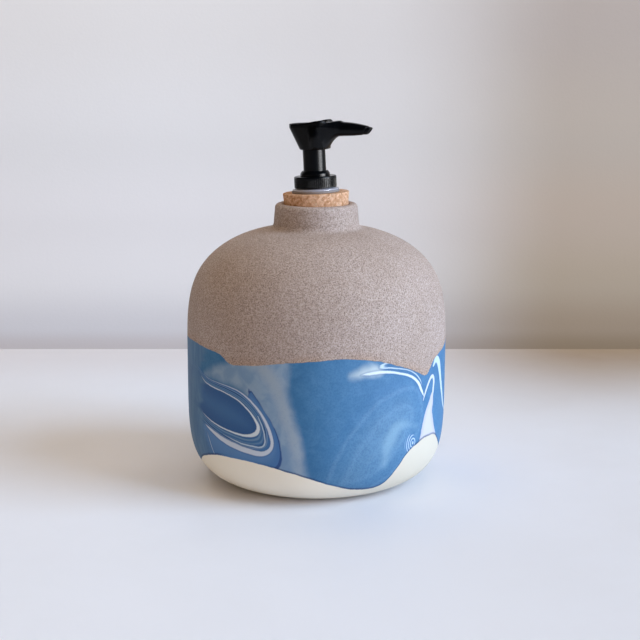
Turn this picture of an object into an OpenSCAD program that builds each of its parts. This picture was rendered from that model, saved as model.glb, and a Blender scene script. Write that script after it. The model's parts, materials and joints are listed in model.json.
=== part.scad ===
// Ceramic dispenser bottle with a cork stopper and a lotion pump.
// Frame: origin at the middle of the foot, +Z up, the spout points along +X.
// The stopper and the pump on it are modelled upright, then leaned together by on_stopper().

/* [Bottle] */
// Diameter of the body
body_d = 128; // [120:1:136]
// Thickness of the clay wall
wall = 4.2; // [3.5:0.1:5]
// Thickness of the floor
floor_t = 5; // [4:0.5:7]
// Diameter of the flat foot where the heel curve starts
foot_d = 72; // [64:1:80]
// Depth of the shallow recess under the foot
foot_recess = 1.2; // [0.6:0.1:2]
// Height at which the heel curve meets the straight side
heel_h = 58; // [50:1:60]
// Height at which the shoulder curve starts
shoulder_z = 62; // [60:1:70]
// Height at which the shoulder curve ends, under the neck
shoulder_top_z = 125; // [120:1:127]
// Height of the lip
lip_z = 137; // [135:0.5:140]
// Outer diameter of the neck just under the lip
neck_d = 40.4; // [39:0.1:42]
// Bore of the neck
neck_bore_d = 32.1; // [31.9:0.1:33]

/* [Stopper] */
// Diameter of the cork where it passes the lip
cork_lip_d = 31.5; // [30.5:0.1:31.5]
// Half angle of the cork's taper in degrees
cork_taper = 4.6; // [3:0.1:6]
// Height of cork standing above the lip
cork_stand = 5.4; // [4:0.1:8]
// Whole length of the cork
cork_h = 24; // [20:1:28]
// Lean of the stopper in degrees, its top towards -X
stopper_lean = 2.75; // [0:0.25:3]

/* [Pump closure] */
// Diameter of the soft washer on the cork
gasket_d = 24.6; // [23:0.1:26]
// Thickness of the soft washer
gasket_h = 1; // [0.8:0.1:1.5]
// Diameter of the housing's flange
flange_d = 24; // [22:0.1:25]
// Thickness of the housing's flange
flange_h = 1.3; // [1:0.1:2]
// Diameter of the ribbed collar
collar_d = 20.6; // [20:0.1:22]
// Height of the ribbed collar
collar_h = 5.6; // [5:0.1:7]
// Number of ribs round the collar
collar_ribs = 60; // [36:4:72]
// Diameter of the guide cap's ring above the collar
guide_ring_d = 14.4; // [13.5:0.1:15]
// Height of the guide cap's ring above the collar
guide_ring_h = 2.5; // [2:0.1:3]

/* [Pump plunger] */
// Diameter of the outer stem
stem_d = 11; // [10:0.1:11.4]
// Stroke of the pump
stroke = 9.8; // [9:0.1:12]
// Diameter of the hollow piston rod
rod_d = 6; // [5.6:0.1:6.2]
// Bore of the pump housing
housing_bore_d = 13; // [12.8:0.1:13]
// Wire of the return spring
spring_wire = 0.8; // [0.6:0.1:0.9]
// Turns of the return spring
spring_turns = 10; // [8:1:11]

/* [Actuator head] */
// Diameter of the head where it meets the stem
head_base_d = 13.5; // [13:0.1:14.5]
// Height of the head from its base to its rim
head_h = 12.8; // [12:0.1:14]
// Reach of the spout from the pump's axis
spout_reach = 30.2; // [28:0.1:34]
// Drop of the spout's top from its crest to its tip
spout_drop = 3.35; // [2.5:0.05:4.5]
// Diameter of the duct through the spout
duct_d = 2.6; // [2:0.1:2.8]

/* [Dip tube] */
// Outer diameter of the dip tube
dip_d = 5.9; // [5:0.1:5.9]
// Height of the dip tube's end above the table
dip_end_z = 9; // [8:0.5:14]

/* [Hidden] */
$fn = 96;

body_r = body_d / 2;
foot_r = foot_d / 2;
neck_r = neck_d / 2;
neck_bore_r = neck_bore_d / 2;
neck_foot_r = neck_r + 0.7;     // the neck spreads a little downwards
neck_fillet = 3;                // fillet between shoulder and neck
fillet_z = shoulder_top_z - 0.3 + neck_fillet;  // height of that fillet's middle
lip_round = 2;                  // rounding outside the lip
lip_round_in = 1.2;             // rounding inside the lip
throat_z = shoulder_top_z - wall - 1.2;  // underside of the neck's bore
shoulder_end_r = neck_bore_r + 3.9;      // radius at which the shoulder curve would end
heel_power = 0.39;              // fullness of the heel; 1 would be an ellipse
shoulder_out_power = 1.27;      // fullness of the shoulder outwards and upwards
shoulder_up_power = 0.51;
curve_steps = 24;               // points along each curve of the profile
recess_rim = 6;                 // width of the foot's rim round its recess
recess_slope = 2;               // width of the recess's sloping side

// Levels of the pump, before the lean
cork_top_z = lip_z + cork_stand;
flange_z = cork_top_z + gasket_h;
collar_z = flange_z + flange_h;
collar_top_z = collar_z + collar_h;
guide_top_z = collar_top_z + guide_ring_h;
pressed_gap = 0.4;              // left between head and guide cap when the pump is pressed down
head_z = guide_top_z + stroke + pressed_gap;
rim_z = head_z + head_h;
collar_lid = 1.3;               // thickness of the collar's top wall
guide_flange_h = 0.9;           // flange of the guide cap, held under the collar's top wall
guide_len = 9;                  // length of guide cap inside the housing
housing_top_z = collar_top_z - collar_lid - guide_flange_h;
guide_bottom_z = housing_top_z - guide_len;

run = 0.05;                     // running clearance of sliding and turning fits, on the radius
gap = 0.1;                      // clearance between fixed pump parts, on the radius
housing_wall = 1;
housing_r = housing_bore_d / 2;
housing_out_r = housing_r + housing_wall;
stem_r = stem_d / 2;
rod_r = rod_d / 2;
rod_bore_r = 1.8;
rod_flange_h = 1;               // flanges of the rod on both sides of the seal
rod_cup = 5;                    // depth of the rod's top in the head
rod_cup_r = rod_r + 0.6;        // outer radius of the rod round the outlet ball
stop_flange_h = 1.4;            // flange of the rod that stops under the guide cap
stop_gap = 0.3;
stop_top_z = guide_bottom_z - stop_gap;
stop_z = stop_top_z - stop_flange_h;
seal_h = 8;
seal_drop = 6.5;                // from the stop flange down to the seal
seal_top_z = stop_z - seal_drop;
seal_z = seal_top_z - seal_h;
seal_play = 0.2;                // room for the seal between the rod's two flanges
rod_end_z = seal_z - seal_play - rod_flange_h;
rod_top_z = head_z + rod_cup;
stem_cup = 3;                   // depth of the outer stem in the head

// Levels of the inlet valve and the dip tube
cage_lid = 1.2;
cage_rim_h = 4;
spring_room = 22;               // height of the spring between cage and rod
cage_z = rod_end_z - spring_room - cage_lid;  // the cage stands on the housing's step here
chamber_r = 3;                  // chamber of the inlet ball
chamber_h = 4;
seat_r = 1.9;                   // narrow end of the inlet ball's conical seat
seat_h = 1.4;
inlet_ball_r = 2.5;
seat_z = cage_z - chamber_h - seat_h;
socket_h = 11;                  // socket of the dip tube
socket_wall = 1.4;
socket_top_z = seat_z - 1.6;
housing_end_z = socket_top_z - socket_h;
dip_r = dip_d / 2;
dip_bore_r = dip_r - 0.85;
dip_slant = 45;                 // slant of the dip tube's lower end

// The outlet ball sits on the cone at the top of the rod
outlet_ball_r = 2.05;
outlet_chamber_h = 3.8;
outlet_chamber_r = 2.3;
outlet_seat_z = rod_top_z - outlet_chamber_h;

duct_r = duct_d / 2;
duct_z = head_z + 8;            // height of the duct where it turns into the spout
tip_len = 2.3;                  // length of the tip insert along the spout
tip_slant = 38;                 // angle of the spout's end face from upright
tip_inset = 0.15;               // the tip is a hair slimmer than the spout, so that a seam shows

// Shape of the head: its rim runs round a narrow back and two wings
rim_h = 1.5;                    // height of the head's rim
back_r = 5.6;                   // radius of the rim's back
back_x = -5.6;
wing_r = 2.2;                   // radius of each wing's corner
wing_x = 4.6;
wing_y = 6;
dish_r = 8.2;                   // sphere that cuts the thumb dish, squeezed across
dish_x = -1.6;
dish_lift = 5.6;                // height of that sphere's middle above the rim
dish_scale = [1.12, 0.88, 1];

// Shape of the spout, seen from the side and from above
crest_x = 13;                   // the spout's top starts to fall here
crest_lift = 0.3;               // height of the crest above the rim
web_x = 14.6;                   // the web under the spout meets its straight underside here
web_len = 7.7;
web_h = 7.15;
spout_low_z = rim_z - 6.75;     // height of the straight underside
spout_half_w = 2.45;            // half width far out, and how it widens towards the head
spout_flare = 5.4;
spout_flare_x = 4;
spout_flare_len = 6.5;
spout_power = 0.8;              // squareness of the spout's section; 1 would be an ellipse
tip_mid_z = rim_z - 3.05;       // height of the middle of the spout's end

// The size of a, without its sign, raised to p
function raised(a, p) = pow(abs(a), p);

function reverse(list) = [for (i = [len(list) - 1:-1:0]) list[i]];

// Heel: from the flat foot out and up to the straight side, inset inwards by the wall
function heel(inset, lift) = [
  for (i = [0:curve_steps]) let (a = 90 * i / curve_steps) [
    foot_r - inset / 2 + (body_r - foot_r - inset / 2) * sin(a),
    lift + (heel_h - lift) * (1 - raised(cos(a), heel_power))
  ]
];

// Shoulder: from the straight side up and in to end_r at the foot of the neck
function shoulder(inset, end_r) = [
  for (i = [0:curve_steps]) let (
    a = 90 * i / curve_steps,
    r = shoulder_end_r + (body_r - inset - shoulder_end_r) * raised(cos(a), shoulder_out_power),
    z = shoulder_z + (shoulder_top_z - inset - shoulder_z) * raised(sin(a), shoulder_up_power)
  ) if (r >= end_r) [r, z]
];

function arc(cx, cz, r, from, to, steps) = [
  for (i = [0:steps]) let (a = from + (to - from) * i / steps) [cx + r * cos(a), cz + r * sin(a)]
];

// The stopper and all that it carries lean about the middle of the lip
module on_stopper() {
  translate([0, 0, lip_z]) rotate([0, -stopper_lean, 0]) translate([0, 0, -lip_z]) children();
}

// Faces of a tube swept through count + 1 rings of points that turn anticlockwise round its path
function sweep_faces(count, sides) = concat(
  [[for (j = [0:sides - 1]) j]],
  [for (i = [0:count - 1], j = [0:sides - 1]) let (
    a = i * sides + j,
    b = i * sides + (j + 1) % sides
  ) [a, a + sides, b + sides, b]],
  [[for (j = [sides - 1:-1:0]) count * sides + j]]
);

module tube(z0, z1, r_out, r_in) {
  translate([0, 0, z0]) difference() {
    cylinder(h = z1 - z0, r = r_out);
    translate([0, 0, -1]) cylinder(h = z1 - z0 + 2, r = r_in);
  }
}

module ceramic_bottle() {
  outside = concat(
    heel(0, 0),
    shoulder(0, neck_foot_r + neck_fillet + 0.5),
    arc(neck_foot_r + neck_fillet, fillet_z, neck_fillet, 262, 185, 6),
    arc(neck_r - lip_round, lip_z - lip_round, lip_round, 5, 90, 8)
  );
  inside = concat(
    arc(neck_bore_r + lip_round_in, lip_z - lip_round_in, lip_round_in, 90, 180, 6),
    [[neck_bore_r, throat_z + 2]],
    [[neck_bore_r + 2, throat_z]],
    reverse(shoulder(wall, neck_bore_r + 4)),
    reverse(heel(wall, floor_t))
  );
  color("rosybrown") difference() {
    rotate_extrude() polygon(concat([[0, 0]], outside, inside, [[0, floor_t]]));
    translate([0, 0, -1])
      cylinder(h = foot_recess + 1, r1 = foot_r - recess_rim, r2 = foot_r - recess_rim - recess_slope);
  }
}

module cork_stopper() {
  chamfer = 0.5;
  function cork_r(z) = cork_lip_d / 2 + (z - lip_z) * tan(cork_taper);
  bottom_z = cork_top_z - cork_h;
  color("burlywood") on_stopper() difference() {
    rotate_extrude() polygon([
      [0, bottom_z],
      [cork_r(bottom_z) - chamfer, bottom_z],
      [cork_r(bottom_z), bottom_z + chamfer],
      [cork_r(cork_top_z), cork_top_z - chamfer],
      [cork_r(cork_top_z) - chamfer, cork_top_z],
      [0, cork_top_z]
    ]);
    translate([0, 0, bottom_z - 1]) cylinder(h = cork_h + 2, r = housing_out_r + gap);
  }
}

module flange_gasket() {
  color("gainsboro") on_stopper() tube(cork_top_z, flange_z, gasket_d / 2, housing_out_r + gap);
}

// Open cylinder with a flange near its top, a ball chamber and seat below, then the dip tube's socket
module pump_housing() {
  socket_out_r = dip_r + socket_wall;
  cone_z = cage_z - 2;
  color("whitesmoke") on_stopper() rotate_extrude() polygon([
    [dip_r, housing_end_z],
    [socket_out_r, housing_end_z],
    [socket_out_r, cone_z - 5],
    [housing_out_r, cone_z],
    [housing_out_r, flange_z],
    [flange_d / 2, flange_z],
    [flange_d / 2, flange_z + flange_h],
    [housing_out_r, flange_z + flange_h],
    [housing_out_r, housing_top_z - 2],
    [housing_out_r + 0.6, housing_top_z - 1.4],
    [housing_out_r, housing_top_z],
    [housing_r, housing_top_z],
    [housing_r, cage_z],
    [chamber_r, cage_z],
    [chamber_r, cage_z - chamber_h],
    [seat_r, seat_z],
    [seat_r, socket_top_z],
    [dip_r, socket_top_z]
  ]);
}

// Ribbed ring with a top wall that holds the guide cap down on the housing
module closure_collar() {
  rib_r = 0.32;
  shell_r = collar_d / 2 - rib_r / 2;
  inner_r = housing_out_r + 0.8;
  hole_r = guide_ring_d / 2 + gap;
  color("black") on_stopper() {
    rotate_extrude() polygon([
      [inner_r, collar_z],
      [shell_r, collar_z],
      [shell_r, collar_top_z - 0.5],
      [shell_r - 0.5, collar_top_z],
      [hole_r, collar_top_z],
      [hole_r, collar_top_z - collar_lid],
      [inner_r, collar_top_z - collar_lid]
    ]);
    for (i = [0:collar_ribs - 1]) rotate([0, 0, 360 * i / collar_ribs])
      translate([shell_r - rib_r / 2, 0, collar_z + 0.4])
        cylinder(h = collar_h - 1.3, r = rib_r, $fn = 16);
  }
}

module guide_cap() {
  bore_r = stem_r + run;
  ring_r = guide_ring_d / 2;
  color("black") on_stopper() rotate_extrude() polygon([
    [bore_r, guide_bottom_z],
    [housing_r - run, guide_bottom_z],
    [housing_r - run, housing_top_z],
    [housing_out_r + 0.5, housing_top_z],
    [housing_out_r + 0.5, housing_top_z + guide_flange_h],
    [ring_r, housing_top_z + guide_flange_h],
    [ring_r, guide_top_z - 1.3],
    [ring_r - 0.9, guide_top_z],
    [bore_r + 0.3, guide_top_z],
    [bore_r, guide_top_z - 0.3]
  ]);
}

// Cup that stands on the housing's step: holes let the liquid past, and the rim centres the spring
module valve_cage() {
  cage_r = housing_r - gap;
  color("whitesmoke") on_stopper() {
    difference() {
      translate([0, 0, cage_z]) cylinder(h = cage_lid, r = cage_r);
      for (i = [0:4]) rotate([0, 0, 72 * i]) translate([2.4, 0, cage_z - 1])
        cylinder(h = cage_lid + 2, r = 0.9);
    }
    tube(cage_z + cage_lid - 0.01, cage_z + cage_rim_h, cage_r, cage_r - 0.9);
  }
}

// Tube pushed into the housing's socket, with its lower end cut on the slant
module dip_tube() {
  color("whitesmoke") on_stopper() difference() {
    tube(dip_end_z, socket_top_z, dip_r, dip_bore_r);
    translate([0, 0, dip_end_z]) rotate([0, dip_slant, 0]) translate([-10, -10, -20]) cube([20, 20, 20]);
  }
}

module inlet_ball() {
  seat_angle = atan2(seat_h, chamber_r - seat_r);
  rest_z = seat_z + (inlet_ball_r - seat_r * sin(seat_angle)) / cos(seat_angle);
  color("silver") on_stopper() translate([0, 0, rest_z + run]) sphere(r = inlet_ball_r);
}

// Wire swept along a helix, with one closed turn at each end
module return_spring() {
  wire_r = spring_wire / 2;
  coil_r = stem_r - 0.9;
  low_z = cage_z + cage_lid + wire_r;
  high_z = rod_end_z - wire_r;
  closed_pitch = spring_wire + 0.05;
  open_pitch = (high_z - low_z - 2 * closed_pitch) / (spring_turns - 2);
  steps = 16;
  sides = 6;
  rings = spring_turns * steps;
  function height(t) = t < 1 ? closed_pitch * t
    : t < spring_turns - 1 ? closed_pitch + open_pitch * (t - 1)
    : high_z - low_z - closed_pitch * (spring_turns - t);
  points = [
    for (i = [0:rings], j = [0:sides - 1]) let (
      turn = 360 * i / steps,
      side = 360 * j / sides,
      r = coil_r + wire_r * cos(side)
    ) [r * cos(turn), r * sin(turn), low_z + height(i / steps) - wire_r * sin(side)]
  ];
  color("lightsteelblue") on_stopper() polyhedron(points, sweep_faces(rings, sides));
}

// Soft piston with a lip at each end, free to turn on the rod
module piston_seal() {
  lip_r = housing_r - run;
  waist_r = rod_r + 1.7;
  color("ivory") on_stopper() rotate_extrude() polygon([
    [rod_r + run, seal_z],
    [lip_r - 0.8, seal_z],
    [lip_r, seal_z + 0.5],
    [lip_r, seal_z + 1.3],
    [waist_r, seal_z + 2.8],
    [waist_r, seal_top_z - 2.8],
    [lip_r, seal_top_z - 1.3],
    [lip_r, seal_top_z - 0.5],
    [lip_r - 0.8, seal_top_z],
    [rod_r + run, seal_top_z]
  ]);
}

// Hollow rod: lower flange on the spring, two flanges round the seal, a ball seat at its top
module piston_rod() {
  flange_r = stem_r - 0.1;
  stop_r = housing_r - 0.3;
  upper_z = seal_top_z + seal_play;
  color("whitesmoke") on_stopper() rotate_extrude() polygon([
    [rod_bore_r, rod_end_z],
    [flange_r, rod_end_z],
    [flange_r, seal_z - seal_play],
    [rod_r, seal_z - seal_play],
    [rod_r, upper_z],
    [rod_r + 1.4, upper_z],
    [rod_r + 1.4, upper_z + rod_flange_h],
    [rod_r, upper_z + 2 * rod_flange_h],
    [rod_r, stop_z - 2],
    [stop_r, stop_z],
    [stop_r, stop_top_z],
    [rod_r, stop_top_z],
    [rod_r, outlet_seat_z - 2],
    [rod_cup_r, outlet_seat_z - 1.4],
    [rod_cup_r, rod_top_z],
    [outlet_chamber_r, rod_top_z],
    [outlet_chamber_r, outlet_seat_z + 1],
    [rod_bore_r, outlet_seat_z]
  ]);
}

module outer_stem() {
  color("dimgray") on_stopper() tube(stop_top_z, head_z + stem_cup, stem_r, rod_cup_r + 2 * run + 0.5);
}

module outlet_ball() {
  rest_z = outlet_seat_z + sqrt(outlet_ball_r * outlet_ball_r - rod_bore_r * rod_bore_r);
  color("silver") on_stopper() translate([0, 0, rest_z + run]) sphere(r = outlet_ball_r);
}

// Outline of the spout over x: its top and its underside as heights, and half its width
function spout_top(x) = rim_z + crest_lift
  - spout_drop * pow(max(0, x - crest_x) / (spout_reach - crest_x), 2);
function spout_under(x) = x >= web_x ? spout_low_z
  : max(head_z, spout_low_z - web_h * (1 - sqrt(max(0, 1 - pow((web_x - x) / web_len, 2)))));
function spout_half(x) = spout_half_w + spout_flare * exp((spout_flare_x - x) / spout_flare_len);

// Loft of rounded sections from the middle of the head out past the tip, grown by grow
module spout_solid(grow) {
  first_x = 3;
  step = 1.2;
  count = ceil((spout_reach + 2 - first_x) / step);
  sides = 32;
  function section(x) = let (
    mid = (spout_top(x) + spout_under(x)) / 2,
    half_h = (spout_top(x) - spout_under(x)) / 2 + grow,
    half_w = spout_half(x) + grow
  ) [
    for (j = [0:sides - 1]) let (a = 360 * j / sides) [
      x,
      half_w * sign(cos(a)) * raised(cos(a), spout_power),
      mid + half_h * sign(sin(a)) * raised(sin(a), spout_power)
    ]
  ];
  points = [for (i = [0:count]) each section(first_x + step * i)];
  polyhedron(points, sweep_faces(count, sides));
}

// Half space beyond a slanted plane across the spout, at distance back from the tip
module beyond_tip(back) {
  translate([spout_reach - back, 0, tip_mid_z]) rotate([0, tip_slant, 0])
    translate([0, -15, -30]) cube([40, 30, 60]);
}

module duct() {
  translate([0, 0, rod_top_z - 1]) cylinder(h = duct_z - rod_top_z + 1, r = duct_r);
  translate([0, 0, duct_z]) sphere(r = duct_r);
  translate([0, 0, duct_z]) rotate([0, 90, 0]) cylinder(h = spout_reach + 5, r = duct_r);
}

// Funnel-shaped press head with a thumb dish on top, running out into the spout
module actuator_head() {
  color("black") on_stopper() difference() {
    union() {
      hull() {
        translate([0, 0, head_z]) cylinder(h = 0.5, d = head_base_d, $fn = 32);
        translate([back_x, 0, rim_z - rim_h]) cylinder(h = rim_h, r = back_r, $fn = 32);
        for (side = [-1, 1]) translate([wing_x, wing_y * side, rim_z - rim_h])
          cylinder(h = rim_h, r = wing_r, $fn = 32);
      }
      difference() {
        spout_solid(0);
        beyond_tip(tip_len);
      }
    }
    translate([dish_x, 0, rim_z + dish_lift]) scale(dish_scale) sphere(r = dish_r);
    translate([0, 0, head_z - 1]) cylinder(h = stem_cup + 1, r = stem_r + run);
    translate([0, 0, head_z - 1]) cylinder(h = rod_cup + 1, r = rod_cup_r + run);
    duct();
  }
}

// Insert at the end of the spout
module nozzle_tip() {
  color("black") on_stopper() difference() {
    intersection() {
      spout_solid(-tip_inset);
      beyond_tip(tip_len);
    }
    beyond_tip(0);
    duct();
  }
}

ceramic_bottle();
cork_stopper();
flange_gasket();
pump_housing();
closure_collar();
guide_cap();
valve_cage();
dip_tube();
inlet_ball();
return_spring();
piston_seal();
piston_rod();
outer_stem();
outlet_ball();
actuator_head();
nozzle_tip();
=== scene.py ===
"""Ceramic dispenser bottle with a cork stopper and a lotion pump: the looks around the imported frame."""

import json
import math

import bmesh
import bpy
import numpy as np
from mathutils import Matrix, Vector, noise
from mathutils.kdtree import KDTree


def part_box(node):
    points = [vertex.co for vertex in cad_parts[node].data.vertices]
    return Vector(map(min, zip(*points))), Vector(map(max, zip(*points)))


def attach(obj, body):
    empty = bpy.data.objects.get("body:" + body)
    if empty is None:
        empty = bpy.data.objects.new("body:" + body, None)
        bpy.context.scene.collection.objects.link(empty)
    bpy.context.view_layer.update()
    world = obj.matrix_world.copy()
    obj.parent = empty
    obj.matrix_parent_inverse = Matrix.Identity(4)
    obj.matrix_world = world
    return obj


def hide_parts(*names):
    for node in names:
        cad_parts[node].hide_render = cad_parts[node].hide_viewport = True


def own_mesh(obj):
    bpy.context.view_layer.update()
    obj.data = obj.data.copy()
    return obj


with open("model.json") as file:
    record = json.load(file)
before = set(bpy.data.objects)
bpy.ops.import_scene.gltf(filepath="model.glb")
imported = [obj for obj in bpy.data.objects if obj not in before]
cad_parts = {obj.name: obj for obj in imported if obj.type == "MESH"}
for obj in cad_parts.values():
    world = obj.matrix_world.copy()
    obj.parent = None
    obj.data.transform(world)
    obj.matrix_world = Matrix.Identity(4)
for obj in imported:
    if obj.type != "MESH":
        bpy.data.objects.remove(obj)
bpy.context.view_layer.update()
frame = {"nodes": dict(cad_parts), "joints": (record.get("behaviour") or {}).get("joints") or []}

# Everything below is in millimetres until a mesh is made. The pump's own frame is upright, with its spout
# along +X, and lean() tips it with the stopper about the middle of the bottle's lip.
MM = 0.001
BODY_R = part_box("ceramic_bottle")[1].x / MM
LIP_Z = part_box("ceramic_bottle")[1].z / MM
PRESS = next(joint for joint in frame["joints"] if joint["name"] == "pump_press")
LEAN = math.atan2(PRESS["axis"][0], -PRESS["axis"][2])


def turned(points, angle):
    """Points turned about the Y axis through the middle of the lip."""
    c, s = math.cos(angle), math.sin(angle)
    x, z = points[:, 0], points[:, 2] - LIP_Z
    return np.stack([x * c - z * s, points[:, 1], x * s + z * c + LIP_Z], -1)


def lean(points):
    return turned(points, LEAN)


def upright_box(node):
    """Largest radius, lowest and highest point of a CAD node in the pump's upright frame."""
    co = np.array([v.co for v in frame["nodes"][node].data.vertices]) / MM
    co = turned(co, -LEAN)
    return np.hypot(co[:, 0], co[:, 1]).max(), co[:, 2].min(), co[:, 2].max()


CORK_R, CORK_LOW, CORK_HIGH = upright_box("cork_stopper")
GASKET_R, GASKET_LOW, FLANGE_Z = upright_box("flange_gasket")
FLANGE_R, HOUSING_LOW, HOUSING_HIGH = upright_box("pump_housing")
COLLAR_R, COLLAR_LOW, COLLAR_HIGH = upright_box("closure_collar")
GUIDE_R, GUIDE_LOW, GUIDE_HIGH = upright_box("guide_cap")
STEM_R, STEM_LOW, STEM_HIGH = upright_box("outer_stem")
HEAD_Z = upright_box("actuator_head")[1]


# ---- mesh helpers


def show(thing):
    """Puts an object in the scene."""
    bpy.context.scene.collection.objects.link(thing)


def make_piece(name, points, faces, material, body, stands_for):
    """A smooth mesh piece from points in millimetres, riding on a body in place of CAD nodes."""
    mesh = bpy.data.meshes.new(name)
    mesh.from_pydata((np.asarray(points) * MM).tolist(), [], faces)
    work = bmesh.new()
    work.from_mesh(mesh)
    bmesh.ops.recalc_face_normals(work, faces=work.faces)
    work.to_mesh(mesh)
    work.free()
    mesh.shade_smooth()
    mesh.materials.append(material)
    piece = bpy.data.objects.new(name, mesh)
    show(piece)
    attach(piece, body)
    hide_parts(*stands_for)
    return piece


def even(points, spacing):
    """Points at even steps along a smooth line."""
    points = np.asarray(points, float)
    run = np.r_[0, np.cumsum(np.hypot(*np.diff(points, axis=0).T))]
    at = np.linspace(0, run[-1], max(2, int(round(run[-1] / spacing)) + 1))
    return np.stack([np.interp(at, run, points[:, k]) for k in (0, 1)], -1)


def rounded(corners, spacing=0.7, steps=5):
    """Closed profile from (r, z, rounding) corners, with its straight sides cut at the given spacing."""
    line = []
    for i, (r, z, size) in enumerate(corners):
        p = np.array([r, z], float)
        before = np.array(corners[i - 1][:2], float) - p
        after = np.array(corners[(i + 1) % len(corners)][:2], float) - p
        la, lb = np.hypot(*before), np.hypot(*after)
        if size == 0:
            line.append(p)
            continue
        half = math.acos(max(-1, min(1, before @ after / (la * lb)))) / 2
        t = min(size / math.tan(half), 0.48 * la, 0.48 * lb)
        start, end = p + before / la * t, p + after / lb * t
        for k in range(steps + 1):
            f = k / steps
            line.append((1 - f) ** 2 * start + 2 * f * (1 - f) * p + f * f * end)
    out = []
    for a, b in zip(line, line[1:] + line[:1]):
        count = max(1, math.ceil(np.hypot(*(b - a)) / spacing))
        out += [a + (b - a) * k / count for k in range(count)]
    return np.array(out)


def round_axis(r, angle, z):
    """Rows of points at a radius, angle and height."""
    return np.stack([r * np.cos(angle), r * np.sin(angle), z], -1).reshape(-1, 3)


def ring_faces(rings, sides, closed):
    """Quads between neighbouring rings of points, and back to the first ring when closed."""
    i, j = np.meshgrid(np.arange(rings if closed else rings - 1), np.arange(sides), indexing="ij")
    k, m = (i + 1) % rings, (j + 1) % sides
    quads = np.stack([i * sides + j, i * sides + m, k * sides + m, k * sides + j], -1)
    return quads.reshape(-1, 4).tolist()


def revolve(profile, sides, closed=True):
    """Points and faces of a profile turned about Z. An open profile starts and ends on the axis."""
    rings = profile if closed else profile[1:-1]
    angle = 2 * math.pi * np.arange(sides) / sides
    points = round_axis(rings[:, :1], angle, np.repeat(rings[:, 1:], sides, 1))
    faces = ring_faces(len(rings), sides, closed)
    if not closed:
        ends = [[0, 0, profile[0, 1]], [0, 0, profile[-1, 1]]]
        points = np.r_[points, ends]
        low, high, last = len(points) - 2, len(points) - 1, (len(rings) - 1) * sides
        faces += [[low, (j + 1) % sides, j] for j in range(sides)]
        faces += [[high, last + j, last + (j + 1) % sides] for j in range(sides)]
    return points, faces


def surface_net(field, low, high, step):
    """Quad mesh of the surface where field is 0, evened out and pulled back onto the surface."""
    rounds, pulls, nudge = 8, 2, 0.01
    axes = [np.arange(a, b + step, step) for a, b in zip(low, high)]
    grid = np.stack(np.meshgrid(*axes, indexing="ij"), -1)
    value = field(grid.reshape(-1, 3)).reshape(grid.shape[:3])
    inside = value < 0
    cells = tuple(s - 1 for s in value.shape)

    def corner(array, d):
        return array[tuple(slice(k, k + c) for k, c in zip(d, cells))]

    steps = [(i, j, k) for i in (0, 1) for j in (0, 1) for k in (0, 1)]
    count = sum(corner(inside, d).astype(int) for d in steps)
    mixed = (count > 0) & (count < 8)
    index = np.full(cells, -1)
    index[mixed] = np.arange(mixed.sum())
    total, number = np.zeros(cells + (3,)), np.zeros(cells)
    faces = []
    for axis in range(3):
        others = [k for k in range(3) if k != axis]
        for d in steps:
            if d[axis]:
                continue
            e = tuple(1 if k == axis else d[k] for k in range(3))
            va, vb = corner(value, d), corner(value, e)
            cross = (va < 0) != (vb < 0)
            t = np.where(cross, va / np.where(cross, va - vb, 1), 0)
            total += np.where(cross[..., None], np.array(d) + t[..., None] * (np.array(e) - d), 0)
            number += cross
        shape = [slice(1, c) for c in cells]
        shape[axis] = slice(0, cells[axis])
        a = inside[tuple(shape)]
        shape[axis] = slice(1, cells[axis] + 1)
        where = np.argwhere(a != inside[tuple(shape)])
        where[:, others] += 1
        around = []
        for p, q in ((1, 1), (0, 1), (0, 0), (1, 0)):
            cell = where.copy()
            cell[:, others[0]] -= p
            cell[:, others[1]] -= q
            around.append(index[tuple(cell.T)])
        faces.append(np.stack(around, -1))
    points = np.array(low) + (np.argwhere(mixed) + total[mixed] / number[mixed][:, None]) * step
    faces = np.concatenate(faces)
    for _ in range(rounds):
        mean, times = np.zeros_like(points), np.zeros(len(points))
        for k in range(4):
            for other in ((k + 1) % 4, (k + 3) % 4):
                np.add.at(mean, faces[:, k], points[faces[:, other]])
                np.add.at(times, faces[:, k], 1)
        points = points + 0.5 * (mean / times[:, None] - points)
        for _ in range(pulls):
            slope = np.stack([
                (field(points + d) - field(points - d)) / (2 * nudge) for d in np.eye(3) * nudge
            ], -1)
            size = np.maximum((slope ** 2).sum(-1), 0.05)
            points = points - (field(points) / size)[:, None] * slope
    return points, faces.tolist()


def store(mesh, name, values):
    """Keeps a number for every point of a mesh, for its material to read."""
    layer = mesh.attributes.new(name, "FLOAT", "POINT")
    layer.data.foreach_set("value", values.astype(np.float32))


def smooth_max(a, b, size):
    """The larger of two fields, with the crease between them rounded over size."""
    h = np.clip(0.5 + 0.5 * (a - b) / size, 0, 1)
    return b + (a - b) * h + size * h * (1 - h)


def smoothstep(low, high, x):
    t = np.clip((x - low) / (high - low), 0, 1)
    return t * t * (3 - 2 * t)


# ---- material helpers


def rgb(red, green, blue):
    """A colour from 0 to 255 as Blender's linear colour."""
    part = [c / 255 for c in (red, green, blue)]
    return (*[c / 12.92 if c < 0.04045 else ((c + 0.055) / 1.055) ** 2.4 for c in part], 1)


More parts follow.
